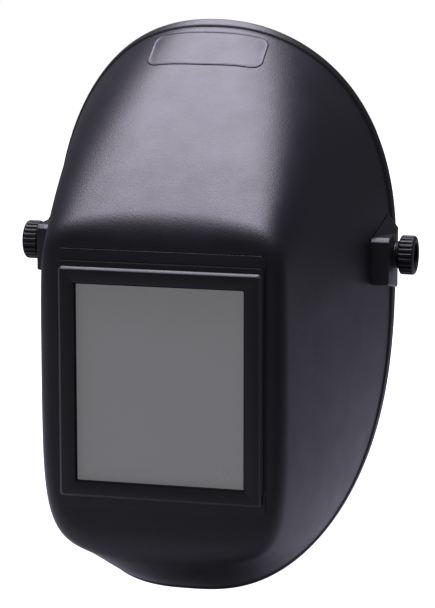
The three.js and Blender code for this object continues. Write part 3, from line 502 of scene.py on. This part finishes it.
# ---- Blank raised panel on the crown ------------------------------------------------------
def make_plaque(surface):
    """A thin rounded panel that follows the shell, with a raised border line."""
    slope = math.radians(PLAQUE["slope"])
    centre = np.array(PLAQUE["centre"])
    along = np.array([0.0, -math.cos(slope), -math.sin(slope)])
    normal = np.array([0.0, -math.sin(slope), math.cos(slope)])
    tree = BVHTree.FromObject(surface, bpy.context.evaluated_depsgraph_get())
    # Distance in from the edge and height over the shell.
    profile = [(0.0, -0.25), (0.12, 0.12), (0.35, 0.42), (0.7, 0.5), (1.1, 0.42), (1.4, 0.2), (1.8, 0.14)]
    profile += [(inset, 0.14) for inset in (3.4, 5.5, 7.5, 9.5, 11.5, 13.2, 14.4, 14.97)]
    width, height, corner = PLAQUE["width"], PLAQUE["height"], PLAQUE["corner"]
    cast_height = 30
    rings = []
    for inset, lift in profile:
        ring = rounded_ring(width - 2 * inset, height - 2 * inset, corner - inset * 0.5, 0.0, 0.0, 12, 30)
        hits = []
        for u, _, v in ring:
            start = centre + np.array([u, 0.0, 0.0]) + along * v + normal * cast_height
            hit = tree.ray_cast(Vector(start * MM), Vector(-normal))[0]
            hits.append(np.array(hit) / MM + normal * lift)
        rings.append(hits)
    vertices = [point for ring in rings for point in ring]
    count = len(rings[0])
    faces = rows_to_faces(len(rings), count, False)
    faces.append(tuple(range((len(rings) - 1) * count, len(rings) * count)))
    return object_from("crown_panel", vertices, faces, 60.0)


plaque = make_plaque(shell)
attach(plaque, "face_shell")


# ---- Window frame -------------------------------------------------------------------------
def make_frame():
    """Bezel with a rounded bevel, the flange around its top and sides, and the skirt for the plates."""
    width, height, corner = (FRAME_SIZE[key] for key in ("width", "height", "corner"))
    back, front = -FACE_Y - FRAME_SIZE["sunk"], FRAME_LOW[1]
    lip = front + FRAME_SIZE["lip"]
    # The outer edge: inset and height of a bevel with rounded corners.
    outer = [(0.0, 0.0), (0.0, 1.3), (0.1, 1.6), (0.3, 1.85), (1.45, 3.05), (1.7, 3.18), (2.1, 3.2)]
    rows = [(width - 2 * s, height - 2 * s, corner - s * 0.6, back - h, WINDOW_Z) for s, h in outer]
    # The edge of the opening: how much wider it is, and where.
    opening = [APERTURE[key] for key in ("width", "height", "corner")]
    inner = [(0.5, front), (0.12, front + 0.12), (0.0, front + 0.5), (0.0, lip)]
    rows += [(opening[0] + 2 * s, opening[1] + 2 * s, opening[2] + s, y, WINDOW_Z) for s, y in inner]
    # The well for the plates, the chamfered rear edge of the skirt, and its outside.
    rear, chamfer_y, chamfer = FRAME_HIGH[1], FRAME_HIGH[1] - 0.3, 0.5
    well = (SKIRT["width"] - 2 * SKIRT["wall"], SKIRT["height"] - 2 * SKIRT["wall"], 0.8)
    skirt = [SKIRT[key] for key in ("width", "height", "corner")]
    rows += [(*well, lip, WINDOW_Z), (*well, chamfer_y, WINDOW_Z)]
    rows += [(well[0] + chamfer, well[1] + chamfer, 1.0, rear, WINDOW_Z)]
    rows += [(skirt[0] - chamfer, skirt[1] - chamfer, skirt[2], rear, WINDOW_Z)]
    rows += [(*skirt, chamfer_y, WINDOW_Z), (*skirt, back, WINDOW_Z)]
    bezel = ring_sweep("window_bezel", rows)
    edge = [(0.0, 0.0), (0.0, 0.85), (0.15, 1.22), (0.55, FLANGE["proud"])]
    rows = top_rounded_rows(FLANGE, edge, back, 0.25)
    # The hole of the flange lies inside the bezel, so that the two join.
    hole = (106.0, 122.0, 1.0)
    rows += [(*hole, back - FLANGE["proud"], WINDOW_Z), (*hole, back, WINDOW_Z)]
    combine(bezel, ring_sweep("flange", rows), "UNION")
    smooth(bezel, 28.0)
    return bezel


bezel = make_frame()
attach(bezel, "face_shell")
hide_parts("window_frame")


# ---- Tension knobs ------------------------------------------------------------------------
def make_knob(side):
    """A ribbed knob with a necked inner end and a recess in its outer end."""
    neck, end, radius, rib = KNOB["neck_x"], KNOB_END, KNOB["radius"], KNOB["rib"]
    recess, floor_x = KNOB["recess"], KNOB_END - KNOB["recess_depth"]
    # The neck and its flare into the ribs.
    profile = [(neck, KNOB["bore"], 0), (neck, 8.2, 0), (neck + 0.2, 8.5, 0), (117.2, 8.6, 0)]
    profile += [(117.9, 9.8, 0), (118.25, 10.9, 0.1), (118.8, 12.0, 0.5), (119.2, 12.3, 0.8)]
    # The ribbed part and its rounded outer end.
    profile += [(119.7, radius, rib), (121.5, radius, rib), (123.5, radius, rib), (end - 2.2, radius, rib)]
    profile += [(end - 1.7, 12.38, 0.75), (end - 1.3, 12.3, 0.3), (end - 0.95, 12.1, 0.05)]
    profile += [(end - 0.5, 11.7, 0), (end - 0.18, 11.2, 0), (end, 10.5, 0), (end, 9.0, 0)]
    # The recess round the bolt.
    profile += [(end - 0.1, 8.6, 0), (end - 0.4, 8.25, 0), (end - 1.0, recess, 0)]
    profile += [(floor_x + 0.2, recess, 0), (floor_x, recess - 0.2, 0), (floor_x, KNOB["bore"], 0)]
    made = turned("tension_knob_" + ("left" if side > 0 else "right"), profile, 288, KNOB["ribs"])
    if side < 0:
        mirror_x(made)
    smooth(made, 40.0)
    return made


grips = []
for side, label in ((1, "left"), (-1, "right")):
    grip = make_knob(side)
    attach(grip, f"side_knob_{label}")
    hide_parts(f"knob_{label}")
    grips.append(grip)


# ---- Soft pads ----------------------------------------------------------------------------
def vertex_rows(obj, attribute):
    """Three numbers for each vertex: its place ("co") or its normal ("normal")."""
    values = np.zeros(len(obj.data.vertices) * 3, np.float32)
    obj.data.vertices.foreach_get(attribute, values)
    return values.reshape(-1, 3)


def place_vertices(obj, places):
    """Moves each vertex to its new place."""
    obj.data.vertices.foreach_set("co", places.ravel())
    obj.data.update()


def inflate(pad):
    """Swells the pad by a short cloth simulation under pressure, and by no more than PAD["swell"]."""
    start = vertex_rows(pad, "co")
    cloth = pad.modifiers.new("cloth", "CLOTH")
    cloth.settings.quality = 5
    cloth.settings.mass = 0.3
    cloth.settings.tension_stiffness = 15
    cloth.settings.compression_stiffness = 15
    cloth.settings.bending_stiffness = 0.5
    cloth.settings.use_pressure = True
    cloth.settings.uniform_pressure_force = PAD["pressure"]
    cloth.settings.effector_weights.gravity = 0.0
    cloth.point_cache.frame_start = 1
    cloth.point_cache.frame_end = CLOTH_FRAMES
    scene = bpy.context.scene
    for step in range(1, CLOTH_FRAMES + 1):
        scene.frame_set(step)
    apply_modifiers(pad)
    scene.frame_set(1)
    delta = vertex_rows(pad, "co") - start
    far = np.linalg.norm(delta, axis=1, keepdims=True)
    delta *= np.minimum(1.0, PAD["swell"] * MM / np.maximum(far, 1e-9))
    place_vertices(pad, start + delta)


def make_pad(name, source):
    """A rounded foam pad from the CAD solid: shrunk a little, then inflated."""
    mesh = nodes[source].data.copy()
    pad = bpy.data.objects.new(name, mesh)
    bpy.context.scene.collection.objects.link(pad)
    remesh = pad.modifiers.new("remesh", "REMESH")
    remesh.mode = "VOXEL"
    remesh.voxel_size = PAD["voxel"] * MM
    remesh.adaptivity = 0.0
    bpy.context.view_layer.update()
    apply_modifiers(pad)
    place_vertices(pad, vertex_rows(pad, "co") - vertex_rows(pad, "normal") * PAD["shrink"] * MM)
    inflate(pad)
    subdivide = pad.modifiers.new("subdivide", "SUBSURF")
    subdivide.levels = subdivide.render_levels = 1
    bpy.context.view_layer.update()
    apply_modifiers(pad)
    smooth(pad, 80.0)
    return pad


pads = []
for name, source, body in (("brow_pad", "sweatband", "headgear"), ("nape_cushion", "nape_pad", "nape")):
    pad = make_pad(name, source)
    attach(pad, body)
    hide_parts(source)
    pads.append(pad)


# ---- Materials, with sizes in metres ------------------------------------------------------
ZONE_FADE = 0.0002


class Shader:
    """A small builder for node materials."""

    def __init__(self, name):
        self.material = bpy.data.materials.new(name)
        self.material.use_nodes = True
        self.tree = self.material.node_tree
        self.tree.nodes.clear()
        self.output = self.add("ShaderNodeOutputMaterial")
        self.position = self.add("ShaderNodeTexCoord").outputs["Object"]

    def add(self, kind, inputs=None, **settings):
        """A new node with its inputs set to values or linked to sockets."""
        made = self.tree.nodes.new(kind)
        for key, value in settings.items():
            setattr(made, key, value)
        for key, value in (inputs or {}).items():
            self.put(made.inputs[key], value)
        return made

    def put(self, socket, value):
        """Links a socket to the input, or sets the input to a number or colour."""
        if isinstance(value, bpy.types.NodeSocket):
            self.tree.links.new(value, socket)
        elif hasattr(socket.default_value, "__len__") and not isinstance(value, str):
            size = len(socket.default_value)
            socket.default_value = (tuple(value) + (1.0,) * size)[:size]
        else:
            socket.default_value = value

    def noise(self, scale, detail=3.0, roughness=0.5, stretch=None):
        """Noise over the object, scale in waves per metre."""
        vector = self.position
        if stretch:
            vector = self.add("ShaderNodeMapping", {"Vector": vector, "Scale": stretch}).outputs["Vector"]
        inputs = {"Vector": vector, "Scale": scale, "Detail": detail, "Roughness": roughness}
        return self.add("ShaderNodeTexNoise", inputs).outputs["Fac"]

    def span(self, value, low, high, to_low=0.0, to_high=1.0):
        """The value carried from low..high to to_low..to_high, and clamped."""
        inputs = {"Value": value, "From Min": low, "From Max": high, "To Min": to_low, "To Max": to_high}
        return self.add("ShaderNodeMapRange", inputs).outputs["Result"]

    def mix(self, factor, a, b):
        """A colour between a and b."""
        made = self.add("ShaderNodeMix", data_type="RGBA")
        self.put(made.inputs[0], factor)
        self.put(made.inputs[6], a)
        self.put(made.inputs[7], b)
        return made.outputs[2]

    def within(self, half_width, lowest, highest):
        """One inside |x| < half_width and lowest < z < highest, zero outside."""
        axes = self.add("ShaderNodeSeparateXYZ", {0: self.position}).outputs
        across = self.add("ShaderNodeMath", {0: axes["X"]}, operation="ABSOLUTE").outputs[0]
        inside = self.span(across, half_width, half_width - ZONE_FADE)
        for low, high in ((lowest, lowest + ZONE_FADE), (highest, highest - ZONE_FADE)):
            edge = self.span(axes["Z"], low, high)
            inside = self.add("ShaderNodeMath", {0: inside, 1: edge}, operation="MULTIPLY").outputs[0]
        return inside

    def mix_value(self, factor, a, b):
        """A number between a and b."""
        return self.add("ShaderNodeMix", {0: factor, 2: a, 3: b}, data_type="FLOAT").outputs[0]

    def bump(self, height, distance, strength, normal=None):
        """A normal bumped by height, on top of another normal if one is given."""
        inputs = {"Height": height, "Distance": distance, "Strength": strength}
        if normal:
            inputs["Normal"] = normal
        return self.add("ShaderNodeBump", inputs).outputs["Normal"]

    def surface(self, **inputs):
        """Ends the material with a principled shader; an underscore stands for a space in a name."""
        named = {key.replace("_", " "): value for key, value in inputs.items()}
        shader = self.add("ShaderNodeBsdfPrincipled", named)
        self.tree.links.new(shader.outputs["BSDF"], self.output.inputs["Surface"])


def plastic(name, base, worn, rough, spread, grain, depth, specular=0.5, wear=0.25, frame_zones=None):
    """Moulded plastic: mottled colour, uneven gloss, a fine grain and lighter rubbed edges.

    frame_zones are those of the window frame: the opening, whose edge gets painted shade with its reflection
    tinted near black and its roughness raised, the flat outside which the bevel gets a painted highlight in
    the worn colour, and the y in front of which the bevel lies.
    """
    s = Shader(name)
    tint = (1.0, 1.0, 1.0)
    mottle = s.span(s.noise(14, 4), 0.35, 0.65)
    colour = s.mix(mottle, base, [c * 1.35 for c in base])
    edges = s.span(s.add("ShaderNodeNewGeometry").outputs["Pointiness"], 0.53, 0.62, 0.0, wear)
    colour = s.mix(edges, colour, worn)
    gloss = s.span(s.noise(60, 5, 0.6), 0.3, 0.7, rough - spread, rough + spread)
    waves = s.bump(s.noise(22, 2), 0.0006, 0.12)
    normal = s.bump(s.noise(grain, 2), depth, 0.5, waves)
    if frame_zones:
        opening, flat, front_y = frame_zones
        # Painted shade on the edge of the opening: its reflection is tinted near black and its roughness
        # raised.
        inside = s.within(*opening)
        tint = s.mix(inside, tint, (0.02, 0.02, 0.02))
        gloss = s.mix_value(inside, gloss, 0.9)
        # Painted highlight on the bevel: outside the flat and in front of front_y it takes the lighter worn
        # colour.
        y = s.add("ShaderNodeSeparateXYZ", {0: s.position}).outputs["Y"]
        painted_bevel_highlight = s.mix_value(s.within(*flat), s.span(y, front_y, front_y - ZONE_FADE), 0.0)
        colour = s.mix(painted_bevel_highlight, colour, worn)
    s.surface(
        Base_Color=colour, Roughness=gloss, Normal=normal, Specular_IOR_Level=specular, Specular_Tint=tint
    )
    return s.material


def metal(name, base, dark, rough, spread, stretch):
    """Plated or turned metal: stained colour, fine turning marks and uneven gloss."""
    s = Shader(name)
    stain = s.span(s.noise(90, 5, 0.6), 0.35, 0.7)
    colour = s.mix(stain, base, dark)
    gloss = s.span(s.noise(240, 4), 0.3, 0.7, rough - spread, rough + spread)
    normal = s.bump(s.noise(900, 2, 0.5, stretch), 0.0002, 0.35)
    s.surface(Base_Color=colour, Metallic=1.0, Roughness=gloss, Normal=normal)
    return s.material


def foam(name, base, worn):
    """Brushed cloth over foam: short fibres, pilled patches and a soft sheen."""
    s = Shader(name)
    patches = s.span(s.noise(70, 6, 0.7), 0.35, 0.7)
    colour = s.mix(patches, base, worn)
    fibres = s.noise(1500, 4, 0.7, (1, 1, 2.5))
    normal = s.bump(fibres, 0.0006, 0.7, s.bump(s.noise(180, 3), 0.0012, 0.4))
    rough = s.span(fibres, 0.2, 0.8, 0.8, 1.0)
    s.surface(Base_Color=colour, Roughness=rough, Normal=normal, Sheen_Weight=0.3)
    return s.material


def glass_plate(name, base, speck, rough, see_through, glow=0.0):
    """A flat plate of glass or polycarbonate with faint haze and specks; glow paints a glow into its surface.
    """
    s = Shader(name)
    haze = s.span(s.noise(6, 2), 0.3, 0.7)
    colour = s.mix(haze, base, speck)
    gloss = s.span(s.noise(25, 3), 0.3, 0.7, rough * 0.9, rough * 1.1)
    normal = s.bump(s.noise(12, 1), 0.0001, 0.04)
    # The emission is a painted glow that lightens the plate evenly.
    s.surface(
        Base_Color=colour,
        Roughness=gloss,
        Normal=normal,
        Alpha=1.0 - see_through,
        Specular_IOR_Level=0.4,
        Emission_Color=(1.0, 1.0, 1.02),
        Emission_Strength=glow,
    )
    return s.material


def zone(size, grow):
    """Half width, lowest z and highest z, in metres, of an area of the window frame."""
    half_width, half_height = size["width"] / 2 + grow, size["height"] / 2 + grow
    return half_width * MM, (WINDOW_Z - half_height) * MM, (WINDOW_Z + half_height) * MM


# The frame zones place the painted shade on the opening's edge and the painted highlight on the bevel.
FRAME_ZONES = (zone(APERTURE, 0.7), zone(FRAME_SIZE, -1.7), (-FACE_Y - 2.5) * MM)

PLASTICS = {
    "shell_plastic": {
        "base": (0.006, 0.006, 0.0078),
        "worn": (0.03, 0.03, 0.036),
        "rough": 0.42,
        "spread": 0.03,
        "grain": 1100,
        "depth": 0.0002,
        "wear": 0.2,
    },
    "black_plastic": {
        "base": (0.006, 0.006, 0.0068),
        "worn": (0.05, 0.05, 0.054),
        "rough": 0.38,
        "spread": 0.05,
        "grain": 1400,
        "depth": 0.00015,
    },
    "frame_plastic": {
        "base": (0.007, 0.0075, 0.008),
        # worn is also the colour of the painted highlight on the frame's bevel.
        "worn": (0.035, 0.036, 0.04),
        "rough": 0.36,
        "spread": 0.04,
        "grain": 1400,
        "depth": 0.00012,
        "specular": 0.47,
        "wear": 0.3,
        "frame_zones": FRAME_ZONES,
    },
    "knob_plastic": {
        "base": (0.005, 0.0055, 0.005),
        "worn": (0.03, 0.03, 0.03),
        "rough": 0.46,
        "spread": 0.05,
        "grain": 1400,
        "depth": 0.00015,
        "specular": 0.35,
    },
    "gray_plastic": {
        "base": (0.03, 0.031, 0.034),
        "worn": (0.09, 0.09, 0.095),
        "rough": 0.5,
        "spread": 0.06,
        "grain": 1200,
        "depth": 0.0002,
    },
    "black_rubber": {
        "base": (0.012, 0.012, 0.012),
        "worn": (0.04, 0.04, 0.04),
        "rough": 0.75,
        "spread": 0.08,
        "grain": 900,
        "depth": 0.0003,
    },
}
MATERIALS = {name: plastic(name, **look) for name, look in PLASTICS.items()}
MATERIALS["steel"] = metal("steel", (0.55, 0.55, 0.56), (0.36, 0.35, 0.34), 0.32, 0.1, (1, 6, 6))
MATERIALS["brass"] = metal("brass", (0.62, 0.45, 0.2), (0.4, 0.27, 0.12), 0.36, 0.1, (1, 6, 6))
MATERIALS["sweat_foam"] = foam("sweat_foam", (0.05, 0.046, 0.043), (0.085, 0.078, 0.07))
# The filter plate carries a painted glow: emission that lights its grey evenly.
MATERIALS["filter_glass"] = glass_plate(
    "filter_glass", (0.049, 0.051, 0.048), (0.053, 0.055, 0.052), rough=0.3, see_through=0.0, glow=0.128
)
MATERIALS["clear_cover"] = glass_plate(
    "clear_cover", (0.8, 0.8, 0.81), (0.78, 0.79, 0.8), rough=0.12, see_through=0.94
)


def dress(obj, material):
    """Gives the object one material and no other."""
    obj.data.materials.clear()
    obj.data.materials.append(material)


slot_of = {part["node"]: part["material_slot"] for part in frame["record"]["subparts"]}
for name, slot_name in slot_of.items():
    dress(nodes[name], MATERIALS[slot_name])
for pieces, material in (
    ((shell, plaque), "shell_plastic"),
    ((bezel,), "frame_plastic"),
    (grips, "knob_plastic"),
    (pads, "sweat_foam"),
):
    for piece in pieces:
        dress(piece, MATERIALS[material])

# Small rounded edges on the carried-over CAD pieces.
ROUND_EDGES = {
    "headband": 0.35,
    "nape_band": 0.35,
    "crown_strap_left": 0.3,
    "crown_strap_right": 0.3,
    "ratchet_housing": 0.5,
    "ratchet_cover": 0.5,
    "ratchet_knob": 0.6,
    "clamp_ring": 0.4,
    "lens_retainer": 0.35,
    "pivot_arm_left": 0.4,
    "pivot_arm_right": 0.4,
    "pivot_bolt_left": 0.25,
    "pivot_bolt_right": 0.25,
    "crown_pin": 0.3,
    "cover_plate": 0.15,
    "inner_plate": 0.15,
}
for name, width in ROUND_EDGES.items():
    bevel = nodes[name].modifiers.new("rounded_edges", "BEVEL")
    bevel.width = width * MM
    bevel.segments = 2
    bevel.limit_method = "ANGLE"
    bevel.angle_limit = math.radians(40)

# ---- Floor, light and camera, in metres ---------------------------------------------------
FLOOR = {"drop": 0.09, "radius": 3.0}
COOL = (0.88, 0.83, 1.0)
SOFTBOX = {"place": (-0.23, 0.04, 1.42), "aim": (-0.23, 0.04, 0.0), "side": 1.25, "watts": 57.5}
ROOM_STRENGTH = 0.14


def make_floor():
    """A pale floor for the camera; reflections see painted light and shade on it, and a painted shadow under
    the object.
    """
    mesh = bpy.data.meshes.new("floor")
    bm = bmesh.new()
    bmesh.ops.create_circle(bm, cap_ends=True, segments=128, radius=FLOOR["radius"])
    bm.to_mesh(mesh)
    bm.free()
    made = bpy.data.objects.new("floor", mesh)
    made.location = (0.0, 0.0, cad_box[0][2] - FLOOR["drop"])
    bpy.context.scene.collection.objects.link(made)
    s = Shader("pale_floor")
    seen = s.add("ShaderNodeLightPath").outputs["Is Camera Ray"]
    colour = s.mix(s.noise(3, 2), (0.80, 0.80, 0.81), (0.82, 0.82, 0.82))
    axes = s.add("ShaderNodeSeparateXYZ", {0: s.position}).outputs
    # Painted light and shade, seen only in reflections: lighter behind and towards -x in front, darker far in
    # front.
    front = s.mix(s.span(axes["X"], -0.45, 0.15), (0.48, 0.51, 0.5), (0.15, 0.16, 0.16))
    front = s.mix(s.span(axes["Y"], -1.6, -0.75), (0.08, 0.09, 0.09), front)
    painted_floor_light = s.mix(s.span(axes["Y"], -0.5, 0.3), front, (0.54, 0.54, 0.58))
    away = s.add("ShaderNodeVectorMath", {0: s.position}, operation="LENGTH").outputs["Value"]
    # A painted shadow under the object, dark within 0.04 m of the floor's centre and gone by 0.15 m.
    painted_floor_light = s.mix(s.span(away, 0.04, 0.15), (0.06, 0.06, 0.06), painted_floor_light)
    colour = s.mix(seen, painted_floor_light, colour)
    # Far from the object the floor fades into the white backdrop.
    fade = s.span(away, 0.3, 1.1, 0.15, 1.1)
    glow = s.add("ShaderNodeMath", {0: fade, 1: seen}, operation="MULTIPLY").outputs[0]
    s.surface(
        Base_Color=colour,
        Roughness=0.9,
        Specular_IOR_Level=0.0,
        Emission_Color=(1.0, 1.0, 1.0),
        Emission_Strength=glow,
    )
    dress(made, s.material)
    return made


make_floor()


def make_softbox():
    """One square overhead light."""
    data = bpy.data.lights.new("overhead_softbox", "AREA")
    data.energy = SOFTBOX["watts"]
    data.color = COOL
    data.size = SOFTBOX["side"]
    light = bpy.data.objects.new("overhead_softbox", data)
    light.location = SOFTBOX["place"]
    facing = Vector(SOFTBOX["place"]) - Vector(SOFTBOX["aim"])
    light.rotation_euler = facing.to_track_quat("Z", "Y").to_euler()
    bpy.context.scene.collection.objects.link(light)


def make_world():
    """A dim room in lights and reflections, and plain white behind the object for the camera."""
    world = bpy.data.worlds.new("studio")
    bpy.context.scene.world = world
    world.use_nodes = True
    add, link = world.node_tree.nodes.new, world.node_tree.links.new
    world.node_tree.nodes.clear()
    backdrop, room = add("ShaderNodeBackground"), add("ShaderNodeBackground")
    backdrop.inputs["Color"].default_value = (1.0, 1.0, 1.0, 1.0)
    backdrop.inputs["Strength"].default_value = 1.0
    room.inputs["Color"].default_value = (*COOL, 1.0)
    room.inputs["Strength"].default_value = ROOM_STRENGTH
    choose = add("ShaderNodeMixShader")
    link(add("ShaderNodeLightPath").outputs["Is Camera Ray"], choose.inputs[0])
    link(room.outputs[0], choose.inputs[1])
    link(backdrop.outputs[0], choose.inputs[2])
    link(choose.outputs[0], add("ShaderNodeOutputWorld").inputs["Surface"])


make_softbox()
make_world()

# Azimuth and elevation in degrees; distance, shift and focal length in millimetres.
CAMERA = {"azimuth": 14.5, "elevation": 10.603, "distance": 1750.0, "lens": 162.34}
CAMERA |= {"right": -0.524, "up": -36.442}


def make_camera():
    """The camera that the photo was taken with, fitted to the window, the knobs and the outline."""
    turn, rise = math.radians(CAMERA["azimuth"]), math.radians(CAMERA["elevation"])
    back = Vector((math.sin(turn) * math.cos(rise), -math.cos(turn) * math.cos(rise), math.sin(rise)))
    right = Vector((math.cos(turn), math.sin(turn), 0.0))
    up = back.cross(right)
    eye = (right * CAMERA["right"] + up * CAMERA["up"] + back * CAMERA["distance"]) * MM
    data = bpy.data.cameras.new("camera")
    data.sensor_width = 36.0
    data.lens = CAMERA["lens"]
    data.clip_start = 0.05
    camera = bpy.data.objects.new("camera", data)
    axes = Matrix((right, up, back)).transposed()
    camera.matrix_world = Matrix.Translation(eye) @ axes.to_4x4()
    bpy.context.scene.collection.objects.link(camera)
    bpy.context.scene.camera = camera


make_camera()
bpy.context.scene.view_settings.view_transform = "Standard"
